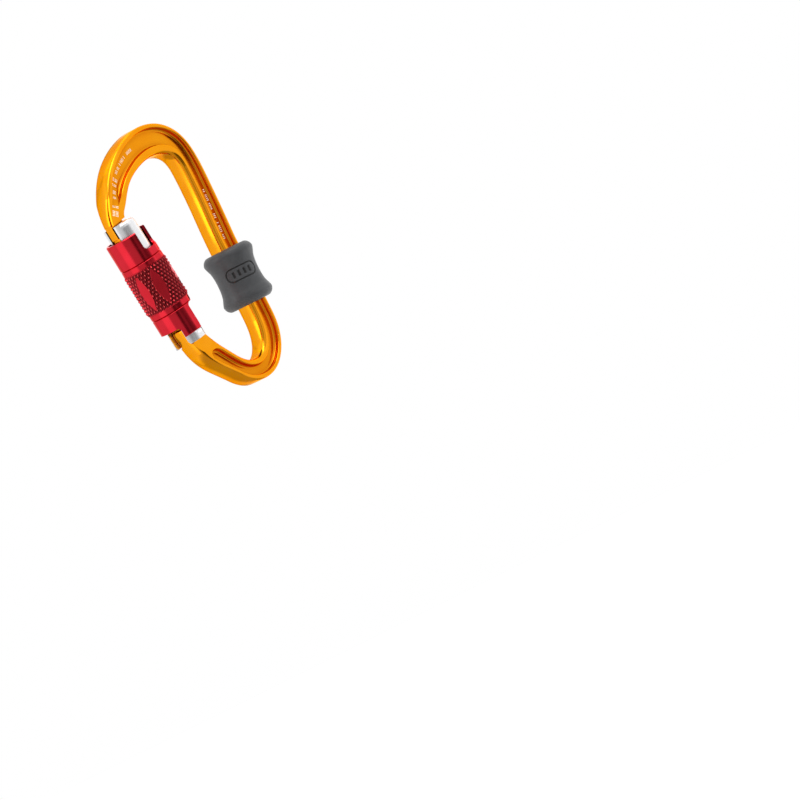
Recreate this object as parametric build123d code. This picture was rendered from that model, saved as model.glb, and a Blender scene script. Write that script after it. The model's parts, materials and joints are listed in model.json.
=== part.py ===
from build123d import *
import math
import os

# Locking carabiner: forged H-section frame, keylock gate with a quarter-turn
# twist-lock sleeve, and a rubber positioning boot on the spine.
# Millimetres. +Z runs up the load axis, +Y is the thin direction.
# The pieces are drawn with the spine near X = 0 and the gate on the -X side, then moved so
# that the origin is the lower rope-bearing point of the frame.
# Gate pieces are drawn in the gate frame: origin on the gate pin, Z up the gate, X inwards.

TO_PART_FRAME = (15.8, 0.0, -5.9)

# ---------------------------------------------------------------- dimensions
# Frame
THICKNESS = 8.0
SIDE_FACE = THICKNESS / 2
SPINE_OUT, SPINE_IN = 4.85, -4.75
POCKET_DEPTH = 2.4          # H-section pocket, each side face
POCKET_FLOOR = SIDE_FACE - POCKET_DEPTH
FLANGE_OUT = 1.8            # outer flange width
FLANGE_IN = 2.3             # rope-side flange width on the spine and lower bow

# Hinge; heights are from the gate pin
PIN_X, PIN_Z = -41.5, 26.4
PIN_R = 1.9
PIN_BORE_R = 1.95
GATE_LEAN = 8.036           # lean of the closed gate away from the spine, degrees
SWING = 27.0                # gate swing, degrees
LUG_HALF = 3.25             # half of the frame lug's thickness
LUG_TOP = 3.0               # lug flat
CAM_RISE = 1.3              # pusher lift per radian of gate swing

# Gate arm; heights are from the gate pin
GATE_R = 6.3
GATE_TOP = 47.3
EAR_LOW = 4.5               # ear ends, below the pin
FORK_HALF = 3.35            # half of the fork slot
FORK_ROOT = 5.0
BORE_R = 2.0                # blind bore for spring and pusher
BORE_LOW, BORE_TOP = 4.0, 24.0
SLOT_HALF = 2.2             # slot for the neck
TSLOT_HALF = 3.5            # slot for the head
RING_Z = 9.75               # retaining ring
GUIDE_Z = 29.8              # guide pin
GUIDE_AZ = 60.0             # its azimuth from +X
GUIDE_R = 1.0

# Keylock nose; heights are from the gate pin
NOSE_END = 47.85
NOSE_OUT, NOSE_IN = -6.0, 2.3
NECK_HALF = 1.5             # neck half thickness
NECK_STEP = 42.7            # lower face of the wide upper neck
NECK_TOP = 48.3
HEAD_HALF = 3.2
HEAD_LOW, HEAD_HIGH = 35.3, 38.3
HEAD_X, HEAD_LENGTH = -5.0, 4.0
LOCK_FROM = 2.43            # swing at which a locked sleeve meets the head
LOCK_TO = 6.37              # swing at which the head would be outside the sleeve

# Sleeve; heights are from the gate pin
SLEEVE_BORE_R = 7.4
SLEEVE_R = 8.5              # upper plain part
FOOT_R = 8.3                # lower plain part
BAND_R = 8.85
SLEEVE_LOW, SLEEVE_TOP = -1.1, 41.7
BAND_LOW, BAND_HIGH = 11.9, 28.3
TWIST = 110.0               # sleeve turn, degrees
FIT_GAP = 0.05              # radial clearance of pieces inside a bore

# Small parts on the gate; heights are from the gate pin
PUSHER_TOP = 8.5            # shoulder under the gate spring
COLLAR_LOW, COLLAR_HIGH = 10.2, 13.2
SPRING_AZ = 200             # start of the sleeve spring and notch in its collar
BUSH_LOW, BUSH_HIGH = 25.8, 33.6
GUIDE_SLOT_HALF = 1.08
GUIDE_SLOT_R = 6.85         # radius at which the slot's end slack is measured

BOOT_LOW, BOOT_HIGH = 24.8, 47.0
BOOT_X = 0.1

os.makedirs("parts", exist_ok=True)


# ---------------------------------------------------------------- points and gate frame
def xz(points):
    return [Vector(x, 0, z) for x, z in points]


def swung(angle):
    """The gate frame with the gate opened by an angle."""
    return Pos(PIN_X, 0, PIN_Z) * Rot(0, angle - GATE_LEAN, 0)


GATE = swung(0)


def gate_point(inward, up):
    """Drawing point from gate coordinates."""
    lean = math.radians(GATE_LEAN)
    return Vector(PIN_X + inward * math.cos(lean) - up * math.sin(lean), 0,
                  PIN_Z + inward * math.sin(lean) + up * math.cos(lean))


def height_on_gate(point):
    lean = math.radians(GATE_LEAN)
    return -(point.X - PIN_X) * math.sin(lean) + (point.Z - PIN_Z) * math.cos(lean)


def param_at_height(curve, height, low, high):
    """Where a curve crosses a height above the gate pin, between two parameters."""
    rising = height_on_gate(curve @ high) > height_on_gate(curve @ low)
    for _ in range(40):
        middle = (low + high) / 2
        if (height_on_gate(curve @ middle) > height) == rising:
            high = middle
        else:
            low = middle
    return low


# ---------------------------------------------------------------- curve helpers
def cross(first, second):
    return first.X * second.Z - first.Z * second.X


def smooth(points, start_dir, end_dir):
    """Spline with set end tangents."""
    return Spline(points, tangents=[start_dir, end_dir], tangent_scalars=[1, 1])


def join(start, start_dir, end, end_dir):
    """Two tangent arcs from one point and direction to another."""
    chord, dir_sum = end - start, start_dir + end_dir
    spread = 2 * (1 - start_dir.dot(end_dir))
    if abs(cross(start_dir, chord)) / chord.length < 2e-3 and start_dir.dot(end_dir) > 0.99999:
        return [Line(start, end)]
    if spread < 1e-9:
        reach = chord.dot(chord) / (4 * chord.dot(end_dir))
    else:
        along = chord.dot(dir_sum)
        reach = (-along + math.sqrt(along ** 2 + spread * chord.dot(chord))) / spread
    middle = (start + end + (start_dir - end_dir) * reach) * 0.5
    pieces = []
    for a, b in ((start, middle), (middle, end)):
        tangent = (pieces[-1] % 1) if pieces else start_dir
        step = b - a
        if abs(cross(tangent, step)) / step.length < 1e-4:
            pieces.append(Line(a, b))
        else:
            pieces.append(TangentArc(a, b, tangent=tangent))
    return pieces


def join_ends(before, after):
    return join(before @ 1, before % 1, after @ 0, after % 0)


def arcs(curve, first, last, count, distance=0.0):
    """Tangent arcs along a curve, set off to its left (X right, Z up) by a distance."""
    knots = []
    for i in range(count + 1):
        t = first + (last - first) * i / count
        p, d = curve @ t, curve % t
        knots.append((Vector(p.X - d.Z * distance, 0, p.Z + d.X * distance),
                      Vector(d.X, 0, d.Z).normalized()))
    pieces = []
    for start, end in zip(knots, knots[1:]):
        pieces += join(*start, *end)
    return pieces


# ---------------------------------------------------------------- solid helpers
def both_ways(face, half):
    """Face in the XZ plane extruded to both sides of it."""
    return extrude(face, amount=half, dir=(0, 1, 0)) + extrude(face, amount=half, dir=(0, -1, 0))


def slab(edges, half):
    """Closed XZ outline made into a plate centred on Y = 0."""
    return both_ways(make_face(Wire(edges)), half).clean()


def box_between(x, length, width, low, high):
    return Pos(x, 0, (low + high) / 2) * Box(length, width, high - low)


def rod_between(radius, low, high):
    return Pos(0, 0, (low + high) / 2) * Cylinder(radius, high - low)


def cross_rod(radius, length):
    """Cylinder along Y, through the gate pin's axis."""
    return Rot(90, 0, 0) * Cylinder(radius, length)


def side_cone(side, y, radius, height):
    """Cone along Y that widens outwards from the pin's radius."""
    return Pos(0, side * y, 0) * Rot(-90 * side, 0, 0) * Cone(PIN_R, radius, height)


def guide_rod(inner, outer):
    """Radial cylinder at the guide pin's place, between two radii."""
    middle = Pos((inner + outer) / 2, 0, GUIDE_Z)
    return Rot(0, 0, GUIDE_AZ) * middle * Rot(0, 90, 0) * Cylinder(GUIDE_R, outer - inner)


def sector(inner, outer, low, high, start, end):
    """Ring segment between two azimuths, counter-clockwise from +X."""
    corners = [(inner, 0, low), (outer, 0, low), (outer, 0, high), (inner, 0, high)]
    face = make_face(Wire([Line(a, b) for a, b in zip(corners, corners[1:] + corners[:1])]))
    return Rot(0, 0, start) * revolve(face, Axis.Z, end - start)


def coil(radius, wire_r, low, high, turns, start=0.0):
    path = Pos(0, 0, low) * Rot(0, 0, start) * Helix(
        pitch=(high - low) / turns, height=high - low, radius=radius)
    return sweep(Plane(origin=path @ 0, z_dir=path % 0) * Circle(wire_r), path, is_frenet=True)


def try_fillet(body, edges, radii):
    """Fillet with the first radius that works; the body is unchanged if none does."""
    for radius in radii:
        # guards against a radius that the kernel cannot roll round these edges
        try:
            done = fillet(edges, radius)
            if done.is_valid and done.volume > 0.5 * body.volume:
                return done
        except Exception:
            continue
    return body


def top_circle(body):
    return [body.edges().filter_by(GeomType.CIRCLE).sort_by(Axis.Z)[-1]]


def lies_at(edge, half, second):
    """Whether an edge lies at Y = +-half, at its middle and at a second parameter."""
    return all(abs(abs((edge @ t).Y) - half) < 0.01 for t in (0.5, second))


def gap(edge, curves):
    """Least distance in XZ from an edge's middle to the curves."""
    middle = edge @ 0.5
    return min(curve.distance_to(Vector(middle.X, 0, middle.Z)) for curve in curves)


# ---------------------------------------------------------------- frame outline, points (x, z)
UP, DOWN = Vector(0, 0, 1), Vector(0, 0, -1)

# from the spine over the crown to the nose
crown_out = smooth(
    [*xz([(SPINE_OUT, 47.5), (5.25, 56.0), (5.75, 66.0), (6.05, 75.5), (5.75, 84.2),
          (3.15, 92.5), (-2.9, 98.5), (-10.8, 101.4), (-19.17, 101.75), (-27.3, 100.0),
          (-35.0, 96.9), (-41.9, 92.5), (-47.6, 86.7), (-51.9, 79.8)]),
     gate_point(NOSE_OUT, NOSE_END)],
    UP, Vector(-0.1398, 0, -0.990))
# from the nose back to the spine
crown_in = smooth(
    [gate_point(NOSE_IN, NOSE_END),
     *xz([(-44.75, 75.9), (-42.0, 78.6), (-39.2, 81.2), (-35.6, 84.1), (-31.1, 86.5),
          (-26.1, 88.3), (-20.85, 89.5), (-15.4, 89.85), (-10.2, 89.1), (-6.5, 87.4),
          (-4.5, 84.8), (-3.8, 81.7), (-3.6, 78.2), (-3.6, 73.5), (-3.75, 68.0),
          (-4.2, 60.5), (-4.6, 54.0), (SPINE_IN, 47.5)])],
    Vector(0.25, 0, 0.97), DOWN)
# pocket wall under the crown, where the rope-side flange is wider
pocket_in = smooth(
    xz([(-49.9, 75.0), (-47.6, 78.1), (-44.4, 80.8), (-41.2, 83.5), (-37.1, 86.5),
        (-32.2, 89.1), (-26.9, 91.2), (-21.3, 92.6), (-15.4, 93.1), (-9.4, 92.3),
        (-4.6, 90.0), (-2.0, 86.2), (-1.2, 81.7), (-1.05, 77.5), (-1.15, 72.5),
        (-1.45, 67.0), (-1.9, 60.0), (-2.3, 54.0), (SPINE_IN + FLANGE_IN, 47.5)]),
    Vector(0.55, 0, 0.83), DOWN)
# from the hinge under the lower bow to the spine
basket_out = smooth(
    [gate_point(-3.3, -5.0),
     *xz([(-40.6, 13.9), (-36.2, 9.2), (-29.93, 4.16), (-23.2, -0.6), (-15.3, -2.2),
          (-7.1, -0.5), (-0.9, 4.1), (3.3, 10.6), (SPINE_OUT, 19.0)])],
    Vector(0.35, 0, -0.94), UP)
# from the spine back to the hinge
basket_in = smooth(
    xz([(SPINE_IN, 22.0), (-5.25, 15.6), (-7.7, 10.0), (-11.6, 6.7), (-15.8, 5.9),
        (-20.0, 6.9), (-24.07, 9.75), (-27.4, 13.1), (-31.6, 17.6), (-36.0, 23.7)]),
    DOWN, Vector(-0.56, 0, 0.83))

nose_line = Line(gate_point(NOSE_OUT, NOSE_END), gate_point(NOSE_IN, NOSE_END))
spine_in_line = Line(crown_in @ 1, basket_in @ 0)
hinge_line = Line(basket_in @ 1, basket_out @ 0)
spine_out_line = Line(basket_out @ 1, crown_out @ 0)
INNER_CURVES = (crown_in, spine_in_line, basket_in)
OUTER_CURVES = (crown_out, spine_out_line, basket_out)


# ---------------------------------------------------------------- frame
def frame_blank():
    blank = slab([*arcs(crown_out, 0, 1, 11), nose_line, *arcs(crown_in, 0, 1, 14),
                  spine_in_line, *arcs(basket_in, 0, 1, 7), hinge_line,
                  *arcs(basket_out, 0, 1, 7), spine_out_line], SIDE_FACE)
    for curves, radii in ((INNER_CURVES, [1.7, 1.4, 1.1]), (OUTER_CURVES, [1.2, 1.1, 0.9])):
        rim = [e for e in blank.edges() if lies_at(e, SIDE_FACE, 0.1) and gap(e, curves) < 0.6]
        blank = try_fillet(blank, rim, radii)
    return blank


def pocket_face(grow=0.0):
    """H-section pocket outline, from the nose limb round to the hinge, with rounded ends."""
    crown_end = param_at_height(crown_out, 50.5, 0.8, 1.0)
    wall_start = param_at_height(pocket_in, 49.8, 0.0, 0.2)
    outer_top = arcs(crown_out, 0.0, crown_end, 10, FLANGE_OUT - grow)
    inner_top = arcs(pocket_in, wall_start, 1.0, 14, -grow)
    outer_low = arcs(basket_out, 0.16, 1.0, 7, FLANGE_OUT - grow)
    inner_low = arcs(basket_in, 0.0, 0.80, 7, FLANGE_IN - grow)
    nose_end = join_ends(outer_top[-1], inner_top[0])
    hinge_end = join_ends(inner_low[-1], outer_low[0])
    spine_in = Line(inner_top[-1] @ 1, inner_low[0] @ 0)
    spine_out = Line(outer_low[-1] @ 1, outer_top[0] @ 0)
    return make_face(Wire([*outer_top, *nose_end, *inner_top, spine_in,
                           *inner_low, *hinge_end, *outer_low, spine_out]))


def cut_pockets(body):
    cut = extrude(pocket_face(), amount=POCKET_DEPTH + 0.5, dir=(0, 1, 0))
    cut = try_fillet(cut, [e for e in cut.edges() if abs((e @ 0.5).Y) < 0.01], [0.9, 0.6, 0.3])
    cut = Pos(0, POCKET_FLOOR, 0) * cut
    body = body - cut - cut.mirror(Plane.XZ)
    pocket_rim = [e for e in body.edges()
                  if lies_at(e, SIDE_FACE, 0.15)
                  and gap(e, OUTER_CURVES) > 1.75
                  and gap(e, INNER_CURVES) > 2.2
                  and gap(e, (nose_line, hinge_line)) > 0.5]
    return try_fillet(body, pocket_rim, [0.5, 0.35, 0.25, 0.15])


def side_profile(points, outer, tilt):
    """Solid across the nose limb, from a profile out to Y = outer."""
    edge = Spline([(-25, y, z) for y, z in points])
    start, end = edge @ 0, edge @ 1
    far_end, far_start = (-25, outer, end.Z), (-25, outer, start.Z)
    face = make_face(Wire([edge, Line(end, far_end), Line(far_end, far_start),
                           Line(far_start, start)]))
    return GATE * Pos(-2, 0, NOSE_END) * Rot(0, tilt, 0) * extrude(face, amount=60, dir=(1, 0, 0))


# (half thickness, distance up from the nose end)
RAMP_PROFILE = [(1.2, 15.2), (1.4, 12.2), (1.65, 9.7), (2.0, 7.7), (2.6, 6.2), (3.3, 4.7),
                (3.6, 3.2), (3.7, -1.8)]
THIN_PROFILE = [(4.06, 18.5), (4.0, 16.5), (3.92, 14.0), (3.74, 11.0), (3.45, 8.0),
                (3.08, 5.0), (2.75, 2.5), (2.45, 0.0), (2.2, -2.6)]


def shape_nose_limb(body):
    """The pocket floor ramps up towards the nose, and the limb thins towards its end."""
    ramp = side_profile(RAMP_PROFILE, -1.0, 0)
    grown = pocket_face(0.25)
    ramp &= extrude(grown, amount=8, dir=(0, 1, 0)) + extrude(grown, amount=2, dir=(0, -1, 0))
    body = body + ramp + ramp.mirror(Plane.XZ)
    thin = side_profile(THIN_PROFILE, 9.0, 25.6)
    return body - thin.mirror(Plane.XZ) - thin


def engrave_ticks(body):
    """Tick marks in the pocket floors on the spine."""
    for side in (-1, 1):
        for k in range(5):
            length = 3.4 if k % 2 == 0 else 2.2
            body -= Pos(0.2, side * POCKET_FLOOR, 52.0 + 2.2 * k) * Box(length, 0.3, 0.7)
    return body


def relieve_hinge(body):
    """Lets the gate's ears and the sleeve's lower rim swing past the side faces."""
    outline = [(0, LUG_HALF), (7.0, LUG_HALF), (10.5, SIDE_FACE + 0.05),
               (10.5, SIDE_FACE + 3), (0, SIDE_FACE + 3)]
    face = make_face(Polyline([(x, y, 0) for x, y in outline], close=True))
    easing = revolve(face, Axis.Y, 360)
    for cutter in (easing.mirror(Plane.XZ), easing):
        body -= Pos(PIN_X, 0, PIN_Z) * cutter
    return body


def hinge_lug():
    """Lug with the cam that lifts the gate's pusher."""
    cam = []
    for i in range(6):
        turn = math.radians(SWING + 1) * i / 5
        lift = LUG_TOP + CAM_RISE * turn
        cam.append(gate_point(lift * math.sin(turn) + CAM_RISE * math.cos(turn),
                              lift * math.cos(turn) - CAM_RISE * math.sin(turn)))
    flat = Line(gate_point(-1.6, LUG_TOP), cam[0])
    cam_curve = Spline(cam)
    inner = smooth([cam[-1], gate_point(4.45, 0.9), gate_point(5.1, -1.8),
                    gate_point(5.0, -4.7)], cam_curve % 1, DOWN)
    outer = smooth([gate_point(-3.3, -5.0), gate_point(-3.85, -2.0), gate_point(-4.05, 0.4),
                    gate_point(-3.45, 2.2), gate_point(-1.6, LUG_TOP)],
                   Vector(-0.35, 0, 0.94), Vector(0.990, 0, 0.1398))
    low_in, low_out = gate_point(2.5, -7.6), gate_point(-0.5, -7.6)
    lug = slab([flat, cam_curve, inner, Line(inner @ 1, low_in), Line(low_in, low_out),
                Line(low_out, outer @ 0), outer], LUG_HALF)
    rim = [e for e in lug.edges()
           if lies_at(e, LUG_HALF, 0.1) and gap(e, (outer, flat, cam_curve, inner)) < 0.02]
    lug = try_fillet(lug, rim, [1.2, 0.9, 0.6, 0.3])
    # kept inside the frame's outer curve
    spine_top, far_top = xz([(SPINE_OUT, 60), (-60, 60)])
    limit = slab([basket_out, Line(basket_out @ 1, spine_top), Line(spine_top, far_top),
                  Line(far_top, basket_out @ 0)], 6)
    return lug & limit


# (half thickness, height above the pin)
RIB_PROFILE = [(NECK_HALF, 44.0), (NECK_HALF, 48.5), (1.75, 52.0), (2.4, 56.0), (3.6, 60.0),
               (5.2, 63.0)]


def scoop_nose(body):
    """Both sides scooped back so that the outer face narrows to a proud central rib."""
    floor_points, outside = [], []
    start = param_at_height(crown_out, 63.0, 0.7, 1.0)
    for i in range(9):
        t = start + (1.0 - start) * i / 7
        p, d = crown_out @ min(t, 1), crown_out % min(t, 1)
        p = p + d * (4.0 if t > 1 else 0)      # the last station lies beyond the nose
        depth = -0.05 + 0.85 * (i / 8) ** 1.3
        floor_points.append(Vector(p.X - d.Z * depth, 0, p.Z + d.X * depth))
        outside.append(Vector(p.X + d.Z * 3, 0, p.Z - d.X * 3))
    strip = slab([Spline(floor_points), Line(floor_points[-1], outside[-1]),
                  Spline(outside[::-1]), Line(outside[0], floor_points[0])], 8)
    far_edge = Spline([(-12, y, z) for y, z in RIB_PROFILE])
    near_edge = Spline([(-12, -y, z) for y, z in RIB_PROFILE][::-1])
    rib = make_face(Wire([far_edge, Line(far_edge @ 1, near_edge @ 0), near_edge,
                          Line(near_edge @ 1, far_edge @ 0)]))
    return body - (strip - GATE * extrude(rib, amount=14, dir=(1, 0, 0)))


def add_keylock(body):
    neck = box_between(-2.25, 7.5, 2 * NECK_HALF, NECK_STEP, NECK_TOP)
    stem = box_between(HEAD_X, HEAD_LENGTH, 2 * NECK_HALF, HEAD_HIGH - 0.2, NECK_STEP + 0.4)
    head = box_between(HEAD_X, HEAD_LENGTH, 2 * HEAD_HALF, HEAD_LOW, HEAD_HIGH)
    tongue = GATE * (stem + head)
    tongue &= swung(LOCK_FROM) * Cylinder(SLEEVE_BORE_R - FIT_GAP, 120)
    tongue -= swung(LOCK_TO) * Cylinder(SLEEVE_R + 0.07, 120)
    return body + GATE * neck + tongue


def build_frame():
    body = cut_pockets(frame_blank())
    body = shape_nose_limb(body)
    body = engrave_ticks(body)
    body = relieve_hinge(body)
    body = body + hinge_lug()
    body -= GATE * cross_rod(PIN_BORE_R, 30)
    body = scoop_nose(body)
    return add_keylock(body).clean()


# ---------------------------------------------------------------- gate arm
def build_gate_arm():
    arm = rod_between(GATE_R, -EAR_LOW, GATE_TOP)
    land = box_between(-4.0, 12.0, 8.4, GATE_TOP - 6, GATE_TOP) & arm   # flat seat under the nose
    arm = try_fillet(arm, top_circle(arm), [2.0, 0.7])
    arm += land
    arm &= box_between(0, 20, 20, 0, 60) + cross_rod(GATE_R, 30)        # rounded ears
    arm -= box_between(0, 30, 2 * FORK_HALF, FORK_ROOT - 20, FORK_ROOT)
    arm -= rod_between(BORE_R, BORE_LOW, BORE_TOP)
    arm -= cross_rod(PIN_R, 30)
    for side in (-1, 1):    # countersinks for the rivet heads
        arm -= side_cone(side, 5.55, 2.75, 0.9)
        arm -= Pos(0, side * 7.0, 0) * cross_rod(2.75, 2.0)
    # bevel on the inner side of the tip
    bevel = [(GATE_R - 2.8, GATE_TOP + 1), (GATE_R + 2, GATE_TOP + 1),
             (GATE_R + 2, GATE_TOP - 5.3), (GATE_R, GATE_TOP - 5.3), (GATE_R - 2.8, GATE_TOP)]
    arm -= both_ways(make_face(Polyline([(x, 0, z) for x, z in bevel], close=True)), 10)
    # neck slot, open at the top and the outer side, then the T-slot for stem and head
    arm -= box_between(-5.0, 10.0, 2 * SLOT_HALF, NECK_STEP - 0.8, 60)
    arm -= rod_between(SLOT_HALF, NECK_STEP - 0.8, 60)
    arm -= box_between(-7.9, 10.0, 2 * SLOT_HALF, 38.0, 44.0)
    arm -= box_between(-7.9, 10.0, 2 * TSLOT_HALF, HEAD_LOW - 0.8, HEAD_HIGH + 0.35)
    arm -= Pos(0, 0, RING_Z) * (Cylinder(8, 0.8) - Cylinder(5.9, 0.8))  # retaining ring groove
    arm -= guide_rod(2.5, 7.5)
    return arm.clean()


# ---------------------------------------------------------------- small parts on the gate
def build_hinge_rivet():
    rivet = cross_rod(PIN_R, 11.8)
    for side in (-1, 1):
        rivet += side_cone(side, 5.5, 2.65, 0.8)
    rivet &= (Pos(0, -3.0, 0) * Sphere(9.0)) & (Pos(0, 3.0, 0) * Sphere(9.0))   # domed ends
    return rivet.clean()


def build_gate_pusher():
    pusher = rod_between(BORE_R - FIT_GAP, LUG_TOP + 0.02, PUSHER_TOP)
    pusher += rod_between(0.95, 8.4, 10.8)      # spigot inside the spring
    return try_fillet(pusher, top_circle(pusher), [0.3])


def build_gate_spring():
    return coil(1.62, 0.26, PUSHER_TOP + 0.3, BORE_TOP - 0.3, 13)


def build_retaining_ring():
    path = Pos(0, 0, RING_Z) * CenterArc((0, 0), 6.33, 30, 300)
    return sweep(Plane(origin=path @ 0, z_dir=path % 0) * Circle(0.38), path)


def build_spring_collar():
    height = COLLAR_HIGH - COLLAR_LOW
    collar = Pos(0, 0, (COLLAR_LOW + COLLAR_HIGH) / 2) * (
        Cylinder(SLEEVE_BORE_R - FIT_GAP, height) - Cylinder(GATE_R, height))
    return collar - Rot(0, 0, SPRING_AZ) * Pos(6.85, 0, 12.4) * Box(1.4, 1.0, 1.8)


def build_sleeve_spring():
    return coil(6.86, 0.36, 13.75, 25.2, 7, start=SPRING_AZ)


def build_cam_bush():
    """Bush in the sleeve, slotted for the guide pin over the sleeve's turn."""
    height = BUSH_HIGH - BUSH_LOW
    bush = Pos(0, 0, (BUSH_LOW + BUSH_HIGH) / 2) * (
        Cylinder(SLEEVE_BORE_R, height) - Cylinder(GATE_R + 0.06, height))
    slack = math.degrees(GUIDE_SLOT_HALF / GUIDE_SLOT_R)
    return bush - sector(5.0, 9.0, GUIDE_Z - GUIDE_SLOT_HALF, GUIDE_Z + GUIDE_SLOT_HALF,
                         GUIDE_AZ - slack, GUIDE_AZ + TWIST + slack)


# ---------------------------------------------------------------- sleeve
EDGE_BEVEL = 0.35
GROOVE = 0.28       # fine ring groove depth
SLEEVE_PROFILE = [  # (radius, height)
    (SLEEVE_BORE_R, SLEEVE_LOW), (FOOT_R - EDGE_BEVEL, SLEEVE_LOW),
    (FOOT_R, SLEEVE_LOW + EDGE_BEVEL),
    (FOOT_R, BAND_LOW - 2.9), (FOOT_R - GROOVE, BAND_LOW - 2.6), (FOOT_R, BAND_LOW - 2.3),
    (FOOT_R + 0.05, BAND_LOW - 0.5), (BAND_R, BAND_LOW),
    (BAND_R, BAND_HIGH), (SLEEVE_R + 0.05, BAND_HIGH + 0.5),
    (SLEEVE_R, BAND_HIGH + 2.3), (SLEEVE_R - GROOVE, BAND_HIGH + 2.6), (SLEEVE_R, BAND_HIGH + 2.9),
    (SLEEVE_R, SLEEVE_TOP - EDGE_BEVEL), (SLEEVE_R - EDGE_BEVEL, SLEEVE_TOP),
    (SLEEVE_BORE_R, SLEEVE_TOP)]
SLEEVE_CUTS = [     # (from azimuth, to azimuth, low, high, height of rounded corners, radius)
    (246, 330, SLEEVE_TOP - 7.6, SLEEVE_TOP + 2, SLEEVE_TOP - 7.6, 1.8),     # nose window
    (70, 215, SLEEVE_LOW - 2, SLEEVE_LOW + 4.1, SLEEVE_LOW + 4.1, 1.5),      # hinge notch
    (270, 350, SLEEVE_LOW - 2, SLEEVE_LOW + 10.2, SLEEVE_LOW + 10.2, 1.8)]   # hinge window


def from_axis(point):
    return math.hypot(point.X, point.Y)


def sleeve_cutter(start, end, low, high, corner_z, corner_r):
    """Cutter through the sleeve wall; its radial edges at corner_z are rounded."""
    block = sector(SLEEVE_BORE_R - 1.0, SLEEVE_R + 1.5, low, high, start, end)
    edges = [e for e in block.edges()
             if abs((e @ 0.5).Z - corner_z) < 0.01 and abs((e @ 0).Z - (e @ 1).Z) < 0.01
             and abs(from_axis(e @ 0) - from_axis(e @ 1)) > 1.0]
    return try_fillet(block, edges, [corner_r, corner_r * 0.7])


def build_lock_sleeve():
    face = make_face(Polyline([(x, 0, z) for x, z in SLEEVE_PROFILE], close=True))
    sleeve = revolve(face, Axis.Z, 360)
    upright = Plane(origin=(0, 0, 0), x_dir=(0, 0, 1), z_dir=(1, 0, 0))
    for azimuth in (65, 110, 185, 230, 305, 350):      # smooth sunk ovals in pairs
        oval = extrude(upright * SlotOverall(14.2, 4.2), amount=3)
        oval = (Pos(0, 0, (BAND_LOW + BAND_HIGH) / 2) * Rot(0, 0, azimuth)
                * Pos(SLEEVE_R - 1.5, 0, 0) * oval)
        oval -= Pos(0, 0, 20) * Cylinder(FOOT_R + 0.1, 60)
        sleeve -= oval
    for cut in SLEEVE_CUTS:
        sleeve -= sleeve_cutter(*cut)
    return sleeve.clean()


# ---------------------------------------------------------------- positioning boot
def build_positioning_boot():
    low, high = BOOT_LOW, BOOT_HIGH
    middle = (low + high) / 2
    bore = Pos((SPINE_OUT + SPINE_IN) / 2, 0, middle) * Box(
        SPINE_OUT - SPINE_IN + 0.2, THICKNESS + 0.2, 40)
    bore = fillet(bore.edges().filter_by(Axis.Z), 1.2)
    waist = smooth(    # outer side, narrowest at half height
        xz([(9.55, low + 1.7), (9.87, low + 2.8), (8.72, low + 6.2), (8.3, middle),
            (8.72, high - 6.2), (9.87, high - 2.8), (9.55, high - 1.7)]),
        Vector(0.5, 0, 0.87), Vector(-0.5, 0, 0.87))
    face = make_face(Wire([
        Line((0, 0, low), (7.2, 0, low)),
        ThreePointArc((7.2, 0, low), (8.7, 0, low + 0.6), (9.55, 0, low + 1.7)),
        waist,
        ThreePointArc((9.55, 0, high - 1.7), (8.7, 0, high - 0.6), (7.2, 0, high)),
        Line((7.2, 0, high), (0, 0, high)),
        Line((0, 0, high), (0, 0, low))]))
    boot = Pos(BOOT_X, 0, 0) * revolve(face, Axis.Z, 360)
    # a sunk oval ring with four plain bars in it, on two sides
    badge = Plane(origin=(0, 0, 0), x_dir=(0, 1, 0), z_dir=(1, 0, 0))
    for azimuth in (235, 55):
        sunk = extrude(badge * (SlotOverall(12.0, 5.4) - SlotOverall(10.9, 4.3)), amount=12)
        for k in (-1.5, -0.5, 0.5, 1.5):
            sunk += Pos(6, 2.1 * k, 0) * Box(12, 1.0, 2.4)
        sunk -= Cylinder(7.95, 60)
        boot -= Pos(BOOT_X, 0, middle + 1.0) * Rot(0, 0, azimuth) * sunk
    return boot - bore


# ---------------------------------------------------------------- write one file per piece
pieces = dict(frame=build_frame(), positioning_boot=build_positioning_boot())
on_gate = dict(
    gate_arm=build_gate_arm(), hinge_rivet=build_hinge_rivet(),
    gate_pusher=build_gate_pusher(), gate_spring=build_gate_spring(),
    retaining_ring=build_retaining_ring(), spring_collar=build_spring_collar(),
    sleeve_spring=build_sleeve_spring(), cam_bush=build_cam_bush(),
    guide_pin=guide_rod(2.55, 7.3), lock_sleeve=build_lock_sleeve())
for name, shape in on_gate.items():
    pieces[name] = GATE * shape
for name, shape in pieces.items():
    solids = shape.solids()
    piece = solids[0] if len(solids) == 1 else Compound(children=solids)
    export_step(Pos(*TO_PART_FRAME) * piece, f"parts/{name}.step")
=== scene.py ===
# A locking carabiner. Its gold frame lies in the XZ plane, Y across the bar, with the
# spine on +X and the gate on -X. The gate carries a red sleeve with a knurled band, and
# a grey rubber boot grips the spine. Lengths are metres; MM turns millimetres into them.
import json
import math
from functools import partial

import bpy
import numpy as np
from mathutils import Matrix, Vector


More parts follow.
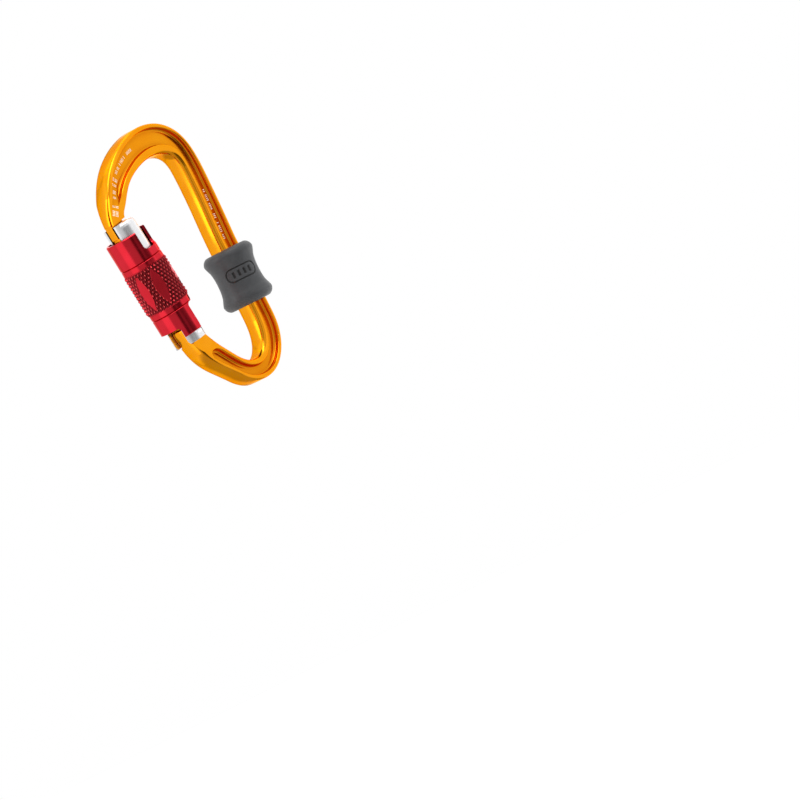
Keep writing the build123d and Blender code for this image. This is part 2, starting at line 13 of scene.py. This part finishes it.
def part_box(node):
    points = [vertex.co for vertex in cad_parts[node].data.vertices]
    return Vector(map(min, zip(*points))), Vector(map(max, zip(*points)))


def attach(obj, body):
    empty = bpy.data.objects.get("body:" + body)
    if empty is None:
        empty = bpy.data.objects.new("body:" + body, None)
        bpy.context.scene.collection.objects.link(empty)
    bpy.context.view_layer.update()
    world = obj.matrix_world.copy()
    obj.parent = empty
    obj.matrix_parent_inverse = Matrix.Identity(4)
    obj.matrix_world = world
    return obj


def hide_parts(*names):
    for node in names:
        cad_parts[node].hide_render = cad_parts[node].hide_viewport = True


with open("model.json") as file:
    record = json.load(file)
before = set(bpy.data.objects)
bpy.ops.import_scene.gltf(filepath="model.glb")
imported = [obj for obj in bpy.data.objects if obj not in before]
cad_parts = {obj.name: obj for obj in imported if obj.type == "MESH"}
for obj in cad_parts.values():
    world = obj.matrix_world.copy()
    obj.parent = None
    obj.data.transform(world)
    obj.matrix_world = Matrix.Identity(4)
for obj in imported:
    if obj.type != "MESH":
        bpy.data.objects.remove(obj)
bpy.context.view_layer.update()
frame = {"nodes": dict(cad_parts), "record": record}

nodes = frame["nodes"]
MM = 0.001


# ------------------------------------------------------------------ placement
def placement(x_axis, y_axis, z_axis, origin):
    """Matrix of a frame with these axes and this origin."""
    matrix = Matrix((x_axis, y_axis, z_axis)).transposed().to_4x4()
    matrix.translation = origin
    return matrix


joints = {joint["name"]: joint for joint in frame["record"]["behaviour"]["joints"]}
PIN = Vector(joints["gate_swing"]["pos_m"])
ORIGIN = PIN + Vector((41.5, 0, -26.4)) * MM        # foot of the spine's middle line
# The gate's frame: X towards the spine, Y across the bar, Z along the sleeve
UP = -Vector(joints["sleeve_twist"]["axis"]).normalized()
SIDE = Vector((0, 1, 0))
GATE = placement(SIDE.cross(UP).normalized(), SIDE, UP, PIN)


# ------------------------------------------------------------------ node helpers
def feed(tree, socket, value):
    """Link a socket to an input, or set the input to a plain value."""
    if isinstance(value, bpy.types.NodeSocket):
        tree.links.new(value, socket)
    else:
        socket.default_value = value


def add_node(tree, kind, inputs=None, **settings):
    node = tree.nodes.new("ShaderNode" + kind)
    for key, value in settings.items():
        setattr(node, key, value)
    for key, value in (inputs or {}).items():
        feed(tree, node.inputs[key], value)
    return node


def find_node(tree, kind):
    return next(node for node in tree.nodes if node.type == kind)


def empty_tree(owner, output_kind):
    """Clear a material's or world's nodes; return the tree and its Surface input."""
    owner.use_nodes = True
    owner.node_tree.nodes.clear()
    output = add_node(owner.node_tree, output_kind)
    return owner.node_tree, output.inputs["Surface"]


def maths(tree, operation, *values):
    return add_node(tree, "Math", dict(enumerate(values)), operation=operation).outputs[0]


def map_range(tree, value, start, end, low, high, **settings):
    inputs = {"Value": value, "From Min": start, "From Max": end, "To Min": low, "To Max": high}
    return add_node(tree, "MapRange", inputs, **settings).outputs["Result"]


def mix_colour(tree, factor, first, second):
    """Mix two colours, each an RGB tuple or a socket."""
    inputs = {"Factor": factor}
    for key, colour in (("A", first), ("B", second)):
        inputs[key] = (*colour, 1) if isinstance(colour, tuple) else colour
    return add_node(tree, "Mix", inputs, data_type="RGBA").outputs["Result"]


def noise(tree, scale, detail, rough, stretch=None):
    vector = find_node(tree, "TEX_COORD").outputs["Object"]
    if stretch:
        mapping = add_node(tree, "Mapping", {"Vector": vector, "Scale": stretch})
        vector = mapping.outputs["Vector"]
    inputs = {"Vector": vector, "Scale": scale, "Detail": detail, "Roughness": rough}
    return add_node(tree, "TexNoise", inputs).outputs["Fac"]


# ------------------------------------------------------------------ material makers
def mottled(name, light, dark, cloud, rough, wear, patch, grain, strength, depth):
    """Cloudy colour, patchy polish and a fine grain; cloud, patch and grain are noise arguments."""
    material = bpy.data.materials.new(name)
    tree, surface = empty_tree(material, "OutputMaterial")
    shader = add_node(tree, "BsdfPrincipled")
    tree.links.new(shader.outputs["BSDF"], surface)
    add_node(tree, "TexCoord")
    blend = map_range(tree, noise(tree, *cloud), 0.3, 0.7, 0, 1)
    feed(tree, shader.inputs["Base Color"], mix_colour(tree, blend, dark, light))
    polish = map_range(tree, noise(tree, *patch), 0.3, 0.7, rough - wear, rough + wear)
    feed(tree, shader.inputs["Roughness"], polish)
    inputs = {"Height": noise(tree, *grain), "Strength": strength, "Distance": depth}
    feed(tree, shader.inputs["Normal"], add_node(tree, "Bump", inputs).outputs["Normal"])
    return material, tree, shader


def metal(name, light, dark, rough, coat=0.0, grain=900.0, stretch=None, corner_shade=None, rim=None):
    """Metal; deep is the painted shade colour mixed into corners and hollows through ambient
    occlusion, rim its tint at grazing angles.
    """
    material, tree, shader = mottled(
        name, light, dark, cloud=(140.0, 2.0, 0.5), rough=rough, wear=0.02,
        patch=(420.0, 3.0, 0.6), grain=(grain, 2.0, 0.5, stretch), strength=0.12, depth=0.00006)
    # Painted shade: the base colour darkens towards the deep colour where ambient occlusion finds
    # corners
    if corner_shade:
        shade = add_node(tree, "AmbientOcclusion", {"Distance": 0.0045}, samples=6, only_local=True)
        openness = maths(tree, "POWER", shade.outputs["AO"], 1.5)
        base = shader.inputs["Base Color"]
        feed(tree, base, mix_colour(tree, openness, corner_shade, base.links[0].from_socket))
    if rim:
        shader.inputs["Specular Tint"].default_value = (*rim, 1)
    shader.inputs["Metallic"].default_value = 1.0
    shader.inputs["Coat Weight"].default_value = coat
    shader.inputs["Coat Roughness"].default_value = 0.12
    return material


def soft(name, light, dark, rough, grain, depth, sheen=0.0):
    """Rubber or polymer: matte, faintly mottled, with a moulded grain."""
    material, _, shader = mottled(
        name, light, dark, cloud=(260.0, 3.0, 0.6), rough=rough, wear=0.05,
        patch=(500.0, 2.0, 0.5), grain=(grain, 4.0, 0.6), strength=0.35, depth=depth)
    shader.inputs["Sheen Weight"].default_value = sheen
    return material


def lay_over(tree, factor, tone):
    """Mix a tone over the present base colour."""
    base = find_node(tree, "BSDF_PRINCIPLED").inputs["Base Color"]
    feed(tree, base, mix_colour(tree, factor, base.links[0].from_socket, tone))


def tint_by(material, attribute, tone, most=None):
    """Lay a tone over where a mesh attribute is high, up to the share most."""
    tree = material.node_tree
    amount = add_node(tree, "Attribute", attribute_name=attribute).outputs["Fac"]
    if most:
        amount = maths(tree, "MULTIPLY", amount, most)
    lay_over(tree, amount, tone)


# ------------------------------------------------------------------ materials
# The deep colours of gold and red are painted shade for corners and pocket floors
gold = metal("gold_anodised_aluminium", light=(1.0, 0.38, 0.009), dark=(0.98, 0.335, 0.007),
             rough=0.17, coat=0.06, corner_shade=(0.50, 0.085, 0.001), rim=(1.0, 0.62, 0.12))
red = metal("red_anodised_aluminium", light=(0.74, 0.013, 0.032), dark=(0.66, 0.009, 0.022),
            rough=0.17, coat=0.32, corner_shade=(0.22, 0.002, 0.006), rim=(1.0, 0.30, 0.34))
silver = metal("bright_aluminium", light=(0.93, 0.935, 0.945), dark=(0.89, 0.895, 0.91),
               rough=0.32, grain=700.0, stretch=(1, 1, 0.08))
steel = metal("stainless_steel", light=(0.60, 0.60, 0.61), dark=(0.50, 0.50, 0.52),
              rough=0.26, grain=1200.0)
wire = metal("spring_wire", light=(0.48, 0.48, 0.50), dark=(0.36, 0.36, 0.38),
             rough=0.30, grain=1500.0)
rubber = soft("grey_rubber", light=(0.044, 0.046, 0.050), dark=(0.034, 0.036, 0.039),
              rough=0.46, grain=1800.0, depth=0.00007, sheen=0.05)
polymer = soft("black_polymer", light=(0.016, 0.016, 0.017), dark=(0.010, 0.010, 0.011),
               rough=0.45, grain=2500.0, depth=0.00004)
# Painted light on the knurl: painted shade darkens it down in its grooves, and painted glints light
# its points
tint_by(red, "groove_shade", tone=(0.10, 0.001, 0.004), most=0.80)
tint_by(red, "peak_glint", tone=(1.0, 0.30, 0.27), most=0.55)
# Painted shade: the sunk badge marks in the rubber are darkened, as shade in their recesses
tint_by(rubber, "badge_shade", tone=(0.006, 0.006, 0.006))

MATERIAL = {
    "frame": gold, "lock_sleeve": red, "gate_arm": silver, "hinge_rivet": silver,
    "gate_pusher": steel, "guide_pin": steel, "gate_spring": wire, "sleeve_spring": wire,
    "retaining_ring": wire, "spring_collar": polymer, "cam_bush": polymer,
    "positioning_boot": rubber,
}
for name, part in nodes.items():
    part.data.materials.clear()
    part.data.materials.append(MATERIAL[name])
    for face in part.data.polygons:
        face.material_index = 0


# ------------------------------------------------------------------ pale marks on the frame
ARC_X, ARC_Z = -18.0 * MM, 60.2 * MM        # middle of the curved row, from ORIGIN
ARC_R = 35.9 * MM
ROW_X, ROW_Z = 1.05 * MM, 50.0 * MM         # foot of the straight row, from ORIGIN
ROW_DX, ROW_DZ = 0.0797, 0.9968             # direction of the straight row


def between(calc, value, low, high):
    return calc("MULTIPLY", calc("GREATER_THAN", value, low), calc("LESS_THAN", value, high))


def ticks(tree, along, across, pitch, duty, seed, rows):
    """1 on short bars along a line, some left out; rows are (from, to) across it; all mm."""
    calc = partial(maths, tree)
    cell = calc("FLOOR", calc("DIVIDE", along, pitch * MM))
    part = calc("FRACT", calc("DIVIDE", along, pitch * MM))
    chance = add_node(tree, "TexWhiteNoise", noise_dimensions="1D")
    feed(tree, chance.inputs["W"], calc("ADD", cell, seed))
    kept = calc("GREATER_THAN", chance.outputs["Value"], 0.22)
    bar = calc("MULTIPLY", calc("LESS_THAN", part, duty), kept)
    in_rows = 0.0
    for low, high in rows:
        in_rows = calc("ADD", between(calc, across, low * MM, high * MM), in_rows)
    return calc("MULTIPLY", bar, in_rows)


def mark_frame(tree):
    """Pale ticks on the -Y pocket floors: a curved row by the nose, a straight one up the spine."""
    calc = partial(maths, tree)
    within = partial(between, calc)
    place = add_node(tree, "SeparateXYZ", {0: find_node(tree, "TEX_COORD").outputs["Object"]})
    depth = place.outputs["Y"]
    x = calc("SUBTRACT", place.outputs["X"], ORIGIN.x)
    z = calc("SUBTRACT", place.outputs["Z"], ORIGIN.z)
    on_floor = within(depth, -1.9 * MM, -1.3 * MM)
    on_limb = within(depth, -3.9 * MM, -1.3 * MM)       # the floor ramps up towards the nose

    # curved row: fine ticks, then bold ones in two lines and three blocks
    arc_x = calc("ADD", x, -ARC_X)
    arc_z = calc("SUBTRACT", z, ARC_Z)
    squares = calc("ADD", calc("MULTIPLY", arc_x, arc_x), calc("MULTIPLY", arc_z, arc_z))
    radius = calc("SQRT", squares)
    angle = calc("ARCTAN2", arc_z, arc_x)
    along = calc("MULTIPLY", angle, ARC_R)
    across = calc("SUBTRACT", radius, ARC_R)

    def sector(start, end):
        return within(angle, math.radians(start), math.radians(end))

    fine = ticks(tree, along, across, pitch=0.62, duty=0.50, seed=3.0, rows=[(-0.55, 0.55)])
    fine = calc("MULTIPLY", fine, sector(99, 124))
    bold = ticks(tree, along, across, pitch=0.55, duty=0.62, seed=11.0,
                 rows=[(-1.5, -0.2), (0.15, 1.5)])
    blocks = calc("ADD", sector(136, 142), sector(145.5, 154.5))
    bold = calc("MULTIPLY", bold, calc("ADD", sector(127.5, 133), blocks))

    def from_foot(operation, x_share, z_share):
        """Join the weighted X and Z offsets from the straight row's foot."""
        return calc(operation, calc("MULTIPLY", calc("SUBTRACT", x, ROW_X), x_share),
                    calc("MULTIPLY", calc("SUBTRACT", z, ROW_Z), z_share))

    along = from_foot("ADD", ROW_DX, ROW_DZ)
    across = from_foot("SUBTRACT", ROW_DZ, ROW_DX)
    spine = ticks(tree, along, across, pitch=0.70, duty=0.50, seed=29.0, rows=[(-0.5, 0.5)])
    spans = calc("ADD", within(along, 0.5 * MM, 11.0 * MM), within(along, 12.5 * MM, 21.0 * MM))
    spine = calc("MULTIPLY", spine, spans)

    marks = calc("MULTIPLY", calc("ADD", fine, spine), on_floor)
    marks = calc("MINIMUM", calc("ADD", marks, calc("MULTIPLY", bold, on_limb)), 1.0)
    marks = calc("MULTIPLY", marks, 0.85)
    lay_over(tree, marks, (0.95, 0.84, 0.70))
    metallic = find_node(tree, "BSDF_PRINCIPLED").inputs["Metallic"]
    feed(tree, metallic, calc("SUBTRACT", 1.0, marks))
    barrel_edges(tree, depth)


def barrel_edges(tree, depth):
    """Tilt the normals round the outline, so those faces look slightly barrelled across the bar."""
    calc = partial(maths, tree)
    geometry = add_node(tree, "NewGeometry")
    normal = add_node(tree, "SeparateXYZ", {0: geometry.outputs["Normal"]}).outputs
    edge_on = calc("SUBTRACT", 1.0, calc("MULTIPLY", normal["Y"], normal["Y"]))
    most, half_bar = 0.34, 4.0 * MM         # tilt at this distance from the bar's middle
    tilt = calc("MULTIPLY", calc("MULTIPLY", depth, most / half_bar), edge_on)
    bent = add_node(tree, "CombineXYZ", {
        "X": normal["X"], "Y": calc("ADD", normal["Y"], tilt), "Z": normal["Z"]})
    unit = add_node(tree, "VectorMath", {0: bent.outputs[0]}, operation="NORMALIZE")
    feed(tree, find_node(tree, "BUMP").inputs["Normal"], unit.outputs[0])


mark_frame(gold.node_tree)


# ------------------------------------------------------------------ mesh helpers
def link_object(name, data):
    made = bpy.data.objects.new(name, data)
    bpy.context.scene.collection.objects.link(made)
    return made


def mesh_object(name, verts, faces, material, smooth=True):
    mesh = bpy.data.meshes.new(name)
    mesh.from_pydata(verts, [], faces)
    mesh.validate()
    mesh.update()
    made = link_object(name, mesh)
    mesh.materials.append(material)
    for face in mesh.polygons:
        face.use_smooth = smooth
    return made


def point_attribute(made, name, values):
    made.data.attributes.new(name, "FLOAT", "POINT").data.foreach_set("value", values)


def ease(x):
    """Smooth step from 0 to 1."""
    x = np.clip(x, 0.0, 1.0)
    return x * x * (3 - 2 * x)


def turn_between(azimuth, degrees):
    """Signed angle from a direction in degrees to an azimuth, within half a turn."""
    return (azimuth - math.radians(degrees) + math.pi) % (2 * math.pi) - math.pi


# ------------------------------------------------------------------ sleeve with its knurled band
TO_GATE = GATE.inverted()
sleeve_points = np.array([TO_GATE @ v.co for v in nodes["lock_sleeve"].data.vertices])
sleeve_low, sleeve_high = sleeve_points.min(0), sleeve_points.max(0)
CREST = float(max(sleeve_high[0], sleeve_high[1], -sleeve_low[0], -sleeve_low[1]))
LOW_R = CREST - 0.55 * MM               # plain sleeve below the band
HIGH_R = CREST - 0.35 * MM              # plain sleeve above the band
BAND_Z0 = sleeve_low[2] + 12.5 * MM
BAND_Z1 = BAND_Z0 + 17.4 * MM
BAND_MID = (BAND_Z0 + BAND_Z1) / 2
END_RAMP = 0.75 * MM                    # the band runs out to the plain sleeve over this
DIAMONDS, STEPS = 36, 16                # diamonds round the band, mesh steps per diamond
DIAMOND_H = 2.70 * MM
KNURL_RISE, KNURL_DEPTH = 0.06 * MM, 0.62 * MM
OVAL_W, OVAL_H = 2.15 * MM, 7.4 * MM    # smooth pointed ovals, half width and half height
OVAL_ARC = (OVAL_W ** 2 + OVAL_H ** 2) / (2 * OVAL_W)
OVAL_SINK = 0.46 * MM
OVALS = (65, 110, 185, 230, 305, 350)   # degrees round the sleeve, in pairs


def knurled_band():
    around = DIAMONDS * STEPS
    rows = int(round((BAND_Z1 - BAND_Z0) / (DIAMOND_H / STEPS)))
    column, row = np.meshgrid(np.arange(around), np.arange(rows + 1))
    azimuth = 2 * math.pi * column / around
    z = BAND_Z0 + (BAND_Z1 - BAND_Z0) * row / rows
    inside_end = ease(np.minimum(z - BAND_Z0, BAND_Z1 - z) / END_RAMP)

    # two crossing sets of grooves; crest is 1 on a diamond, 0 at the bottom of the grooves
    rising = np.abs(((column + row) / STEPS) % 1.0 - 0.5) * 2
    falling = np.abs(((column - row) / STEPS) % 1.0 - 0.5) * 2
    crest = 1.0 - np.clip((np.maximum(rising, falling) - 0.14) / 0.70, 0, 1)

    oval_gap = np.full(azimuth.shape, 1e9)      # distance outside the nearest oval
    pad = np.full(azimuth.shape, CREST)
    for degrees in OVALS:
        turn = turn_between(azimuth, degrees)
        gap = np.hypot(np.abs(turn) * CREST + OVAL_ARC - OVAL_W, z - BAND_MID) - OVAL_ARC
        near = np.abs(turn) < math.radians(22)
        turned = turn + math.radians(4)         # the pads are flats, a touch off the radial
        flat = (CREST - OVAL_SINK) / np.cos(np.clip(turned, -0.5, 0.5))
        pad = np.where(near, flat, pad)
        oval_gap = np.minimum(oval_gap, gap)
    in_oval = ease((0.14 * MM - oval_gap) / (0.26 * MM))

    radius = CREST + KNURL_RISE - KNURL_DEPTH * (1 - crest)
    radius = radius + (pad - radius) * in_oval
    edge = np.where(z < BAND_MID, LOW_R, HIGH_R) - 0.04 * MM
    radius = radius - (radius - edge) * (1 - inside_end)
    verts = np.stack([radius * np.cos(azimuth), radius * np.sin(azimuth), z], -1).reshape(-1, 3)

    faces = []
    for j in range(rows):
        base = j * around
        for i in range(around):
            k = (i + 1) % around
            quad = (base + i, base + k, base + around + k, base + around + i)
            # start corners alternate, so the triangles cross like the knurl
            faces.append(quad if (i + j) % 2 else (*quad[1:], quad[0]))
    band = mesh_object("sleeve_knurl", [GATE @ Vector(v) for v in verts], faces, red)
    knurled = (1 - in_oval) * inside_end
    # Mask for painted shade down in the grooves
    point_attribute(band, "groove_shade", (ease((0.75 - crest) / 0.6) * knurled).ravel())
    # Mask for painted glints, a painted highlight on the diamond points
    point_attribute(band, "peak_glint", (ease((crest - 0.80) / 0.2) * knurled).ravel())
    return band


def plain_sleeve():
    """Copy the CAD sleeve, stepped back where the knurled band covers it."""
    plain = nodes["lock_sleeve"].copy()
    plain.data = nodes["lock_sleeve"].data.copy()
    plain.name = "locking_sleeve"
    for key in [key for key in plain.keys() if key.startswith("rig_")]:
        del plain[key]
    bpy.context.scene.collection.objects.link(plain)
    plain.parent = None
    under = LOW_R - 0.32 * MM
    margin = 0.05 * MM
    for vertex in plain.data.vertices:
        point = TO_GATE @ vertex.co
        radius = math.hypot(point.x, point.y)
        if BAND_Z0 + margin < point.z < BAND_Z1 - margin and radius > under:
            shrink = under / radius
            vertex.co = GATE @ Vector((point.x * shrink, point.y * shrink, point.z))
    return plain


knurl = knurled_band()
sleeve = plain_sleeve()
bpy.ops.object.select_all(action="DESELECT")
knurl.select_set(True)
sleeve.select_set(True)
bpy.context.view_layer.objects.active = sleeve
bpy.ops.object.join()
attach(sleeve, "sleeve")
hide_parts("lock_sleeve")

# ------------------------------------------------------------------ positioning boot
boot_low, boot_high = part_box("positioning_boot")
SPINE_MID = ORIGIN.x + 0.05 * MM
BOOT_X = (boot_low.x + boot_high.x) / 2
BOOT_R = (boot_high.x - boot_low.x) / 2
Z0, Z1 = boot_low.z, boot_high.z
BOOT_H = Z1 - Z0
BOOT_MID = (Z0 + Z1) / 2
AROUND = 384
# Lower half of the outside, lip to waist: radius, height above the lip, mm,
# for a boot of the drawn radius and height
DRAWN_R, DRAWN_H = 9.84, 22.2
HALF_OUTLINE = [
    (7.2, 0.0), (7.75, 0.08), (8.25, 0.28), (8.7, 0.6), (9.18, 1.08), (9.55, 1.7),
    (9.80, 2.35), (9.82, 3.1), (9.40, 4.4), (8.78, 6.1), (8.42, 8.4), (8.3, 11.1)]
# Badge, on two sides: a sunk oval ring with four upright bars in it
BADGE_Z = BOOT_MID + 1.0 * MM
BADGE_SIDES = (235.0, 55.0)             # degrees
BADGE_R = 8.35 * MM                     # boot radius that turns angle into width
BADGE_SOFT = 0.14 * MM                  # width of a sunk edge


def boot_outline():
    """(radius, height) up the outside, lip to lip, on a smooth curve through the knots."""
    tall = BOOT_H / MM
    knots = [(r, z * tall / DRAWN_H) for r, z in HALF_OUTLINE]
    knots += [(r, tall - z * tall / DRAWN_H) for r, z in HALF_OUTLINE[-2::-1]]
    last = len(knots) - 1

    def placed(r, z):
        return r * MM * BOOT_R / (DRAWN_R * MM), Z0 + z * MM

    outline = []
    for i in range(last):
        around = [knots[max(0, min(last, i + j))] for j in (-1, 0, 1, 2)]
        (r1, z1), (r2, z2) = around[1:3]
        steps = max(2, int(math.hypot(r2 - r1, z2 - z1) / 0.17))
        for step in range(steps):
            t = step / steps
            outline.append(placed(*[
                0.5 * (2 * b + (c - a) * t + (2 * a - 5 * b + 4 * c - d) * t * t
                       + (3 * b - a - 3 * c + d) * t ** 3)
                for a, b, c, d in zip(*around)]))
    outline.append((placed(*knots[-1])[0], Z1))
    return outline


def badge_depth(azimuth, dz):
    """How far the badge is sunk here, 0 to 1; dz is the height from its middle."""
    sunk = 0.0
    if abs(dz) >= 3.2 * MM:
        return sunk
    for side in BADGE_SIDES:
        across = turn_between(azimuth, side) * BADGE_R
        if abs(across) > 7.2 * MM:
            continue
        edge = math.hypot(max(0.0, abs(across) - 4.0 * MM), dz) - 2.7 * MM
        sunk = max(sunk, float(ease((0.33 * MM - abs(edge + 0.28 * MM)) / BADGE_SOFT)))
        for k in (-1.5, -0.5, 0.5, 1.5):
            sunk = max(sunk, float(ease((0.55 * MM - abs(across - 2.25 * MM * k)) / BADGE_SOFT))
                       * float(ease((1.25 * MM - abs(dz)) / BADGE_SOFT)))
    return sunk


def rounded_rectangle(half_x, half_y, corner, azimuth):
    """Distance from the middle to the wall of a rounded rectangle in a direction."""
    along_x, along_y = abs(math.cos(azimuth)), abs(math.sin(azimuth))
    reach = min(half_x / along_x if along_x > 1e-9 else 1e9,
                half_y / along_y if along_y > 1e-9 else 1e9)
    corner_x, corner_y = half_x - corner, half_y - corner
    if reach * along_x > corner_x and reach * along_y > corner_y:
        b = along_x * corner_x + along_y * corner_y
        square = corner_x * corner_x + corner_y * corner_y - corner * corner
        reach = b + math.sqrt(max(0.0, b * b - square))
    return reach


def build_boot():
    azimuths = [2 * math.pi * i / AROUND for i in range(AROUND)]
    verts, badge_shade = [], []
    for radius, z in boot_outline():
        lean = -0.30 * MM * (1 - (z - Z0) / BOOT_H) ** 1.5
        for azimuth in azimuths:
            sunk = badge_depth(azimuth, z - BADGE_Z)
            reach = radius - 0.36 * MM * sunk
            # ink carries the sink depth as a painted shade mask for the badge
            badge_shade.append(sunk)
            verts.append(Vector((BOOT_X + lean + reach * math.cos(azimuth),
                                 reach * math.sin(azimuth), z)))
    bore = []
    for azimuth in azimuths:
        reach = rounded_rectangle(4.88 * MM, 4.08 * MM, 1.3 * MM, azimuth)
        bore.append((SPINE_MID + reach * math.cos(azimuth), reach * math.sin(azimuth)))
    lip, flare_z = 0.55 * MM, 0.25 * MM
    for flare, z in ((0.10, Z1), (0.02, Z1 - flare_z), (0.0, Z1 - lip), (0.0, BOOT_MID),
                     (0.0, Z0 + lip), (0.02, Z0 + flare_z), (0.10, Z0)):
        verts += [Vector((x + (x - SPINE_MID) * flare, y * (1 + flare), z)) for x, y in bore]

    faces = []
    rings = len(verts) // AROUND
    for j in range(rings):
        this, after = j * AROUND, ((j + 1) % rings) * AROUND
        for i in range(AROUND):
            k = (i + 1) % AROUND
            faces.append((this + i, this + k, after + k, after + i))
    made = mesh_object("rubber_positioning_boot", verts, faces, rubber)
    badge_shade += [0.0] * (len(verts) - len(badge_shade))
    point_attribute(made, "badge_shade", badge_shade)
    return made


boot = build_boot()
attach(boot, "boot")
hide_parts("positioning_boot")


# ------------------------------------------------------------------ floor
def floor_material():
    """Pale and self-lit; clear from below and in mirrors, so metal shows the studio instead."""
    material = bpy.data.materials.new("pale_floor")
    tree, surface = empty_tree(material, "OutputMaterial")
    diffuse = add_node(tree, "BsdfDiffuse", {"Color": (0.86, 0.86, 0.86, 1)})
    glow = add_node(tree, "Emission", {"Strength": 0.62})
    pale = add_node(tree, "AddShader", {0: diffuse.outputs[0], 1: glow.outputs[0]})
    clear = add_node(tree, "BsdfTransparent")
    hidden = maths(tree, "MAXIMUM", add_node(tree, "NewGeometry").outputs["Backfacing"],
                   add_node(tree, "LightPath").outputs["Is Glossy Ray"])
    mix = add_node(tree, "MixShader", {0: hidden, 1: pale.outputs[0], 2: clear.outputs[0]})
    tree.links.new(mix.outputs[0], surface)
    return material


frame_low, frame_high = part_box("frame")
floor_z = frame_low.z - 0.16
corners = [(x, y, floor_z) for x, y in ((-8, -8), (8, -8), (8, 8), (-8, 8))]
mesh_object("floor", corners, [(0, 1, 2, 3)], floor_material(), smooth=False)

# ------------------------------------------------------------------ camera
HEADING, ROLL = math.radians(50.0), math.radians(26.7)
DISTANCE = 14.0
VIEW_WIDTH = 0.2963                     # width seen at the object
SENSOR = 36
level = Vector((math.cos(HEADING), -math.sin(HEADING), 0))      # rightwards, before the roll
forward = Vector((math.sin(HEADING), math.cos(HEADING), 0))
cam_right = level * math.cos(ROLL) - Vector((0, 0, 1)) * math.sin(ROLL)
cam_up = Vector((0, 0, 1)) * math.cos(ROLL) + level * math.sin(ROLL)
aim = ORIGIN + Vector((-0.1 * MM, 0, 0)) + level * 33.1 * MM - Vector((0, 0, 31.9 * MM))
cam_data = bpy.data.cameras.new("camera")
cam_data.sensor_width = SENSOR
cam_data.lens = SENSOR * DISTANCE / VIEW_WIDTH
cam_data.clip_end = 50
camera = link_object("camera", cam_data)
camera.matrix_world = placement(cam_right, cam_up, -forward, aim - forward * DISTANCE)
bpy.context.scene.camera = camera

# ------------------------------------------------------------------ lights
centre = Vector(((frame_low.x + frame_high.x) / 2, 0, (frame_low.z + frame_high.z) / 2))


def panel(name, azimuth, elevation, width, height, power):
    """A soft box 1 m off that faces the object. Azimuth 0 is on -Y and 90 is on +X."""
    turn, rise = math.radians(azimuth), math.radians(elevation)
    outward = Vector((math.sin(turn) * math.cos(rise), -math.cos(turn) * math.cos(rise),
                      math.sin(rise)))
    light = bpy.data.lights.new(name, "AREA")
    light.shape = "RECTANGLE"
    light.size, light.size_y = width, height
    light.energy = power
    lamp = link_object(name, light)
    lamp.location = centre + outward
    lamp.rotation_euler = outward.to_track_quat("Z", "Y").to_euler()


panel("key", azimuth=-112, elevation=28, width=0.45, height=0.9, power=2.0)
panel("top", azimuth=-20, elevation=75, width=0.8, height=0.5, power=2.0)

# ------------------------------------------------------------------ studio world
ROOM = 0.08                             # dim light from everywhere
# azimuth, its half width, elevation, its half height, soft edge (degrees), strength
BOX_LIGHTS = (
    (-130, 42, 6, 46, 12, 0.84),        # large box on the gate side
    (-104, 10, 6, 46, 12, 0.34),        # its bright middle
    (-62, 20, 6, 46, 10, 0.50),         # its dimmer edge
    (-16, 3, 6, 46, 6, 0.14),           # faint stripe
    (-2, 22, 38, 34, 12, 0.60),         # raised box in front
    (50, 24, 10, 46, 14, 0.86),         # fill that the side faces mirror
    (104, 20, 10, 46, 12, 1.10),        # rim light on the spine side
    (150, 22, 10, 46, 14, 0.86),        # rim light behind
    (0, 180, 80, 16, 16, 0.95),         # overhead box
    (0, 180, -75, 22, 18, 0.42))        # bounce from the floor


def build_world():
    """White to the camera; a studio of soft boxes to everything else."""
    world = bpy.data.worlds.new("studio")
    bpy.context.scene.world = world
    tree, surface = empty_tree(world, "OutputWorld")
    calc = partial(maths, tree)
    coords = add_node(tree, "TexCoord").outputs["Generated"]
    ray = add_node(tree, "SeparateXYZ", {0: coords}).outputs
    azimuth = calc("ARCTAN2", ray["X"], calc("MULTIPLY", ray["Y"], -1.0))
    azimuth = calc("MULTIPLY", azimuth, 180 / math.pi)
    elevation = calc("MULTIPLY", calc("ARCSINE", ray["Z"]), 180 / math.pi)

    def fade(offset, half, edge):
        """1 within half of the middle, falling smoothly to 0 over the edge."""
        return map_range(tree, calc("ABSOLUTE", offset), half, half + edge, 1.0, 0.0,
                         interpolation_type="SMOOTHSTEP")

    total = ROOM
    for middle, half_width, height, half_height, edge, strength in BOX_LIGHTS:
        turn = calc("WRAP", calc("SUBTRACT", azimuth, middle), 180.0, -180.0)
        rise = calc("SUBTRACT", elevation, height)
        inside = calc("MULTIPLY", fade(turn, half_width, edge), fade(rise, half_height, edge))
        total = calc("ADD", total, calc("MULTIPLY", inside, strength))

    white = (1, 1, 1, 1)
    lit = add_node(tree, "Background", {"Color": white, "Strength": total})
    seen = add_node(tree, "Background", {"Color": white, "Strength": 1.0})
    to_camera = add_node(tree, "LightPath").outputs["Is Camera Ray"]
    mix = add_node(tree, "MixShader", {0: to_camera, 1: lit.outputs[0], 2: seen.outputs[0]})
    tree.links.new(mix.outputs[0], surface)


build_world()
bpy.context.scene.view_settings.view_transform = "Standard"
bpy.context.scene.view_settings.look = "None"
